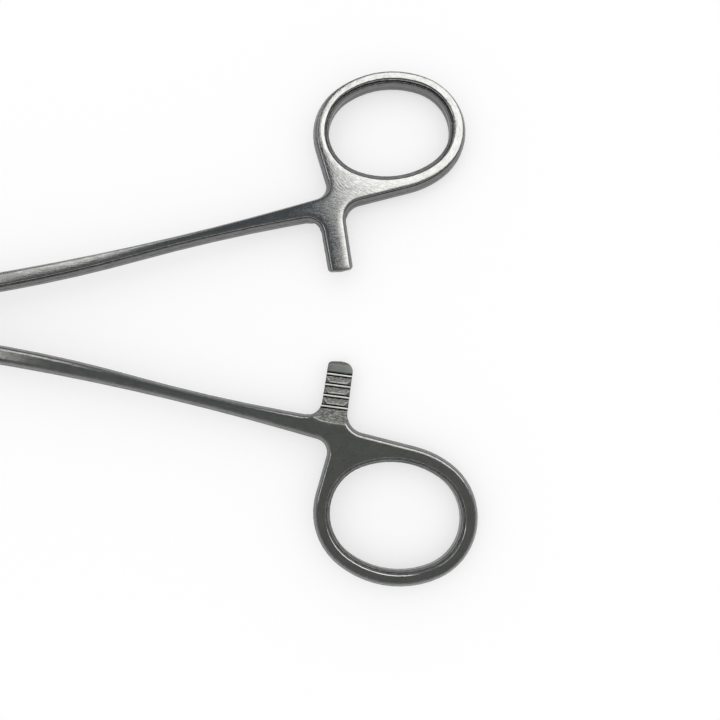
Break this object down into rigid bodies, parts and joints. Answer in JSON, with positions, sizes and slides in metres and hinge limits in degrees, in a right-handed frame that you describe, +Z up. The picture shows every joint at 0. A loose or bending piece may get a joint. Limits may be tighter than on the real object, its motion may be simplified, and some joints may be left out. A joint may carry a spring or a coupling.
{
  "type": "placenta forceps",
  "caption": "Ring-handled grasping forceps with crossed halves, box lock, toothed ratchet arms and fenestrated serrated jaws.",
  "frame": {"origin": "on the resting surface, at the middle of the length and width of the open instrument", "axes": "+X along the instrument towards the finger rings, +Y towards the ring of the box half, +Z up"},
  "size_m": [0.2406, 0.1136, 0.019],
  "materials": {
    "satin_steel": "satin brushed stainless steel",
    "pin_steel": "riveted and ground flush, satin stainless steel"
  },
  "bodies": {
    "box_side": {"box_half": "satin_steel", "pivot_pin": "pin_steel"},
    "tongue_side": {"tongue_half": "satin_steel"}
  },
  "joints": [
    {"name": "box_lock", "type": "hinge", "parent": "box_side", "child": "tongue_side", "pos_m": [-0.01532, 0, 0.00674], "axis": [-0.0314, 0, -0.9995], "range_deg": [-15.7, 29.3]}
  ]
}
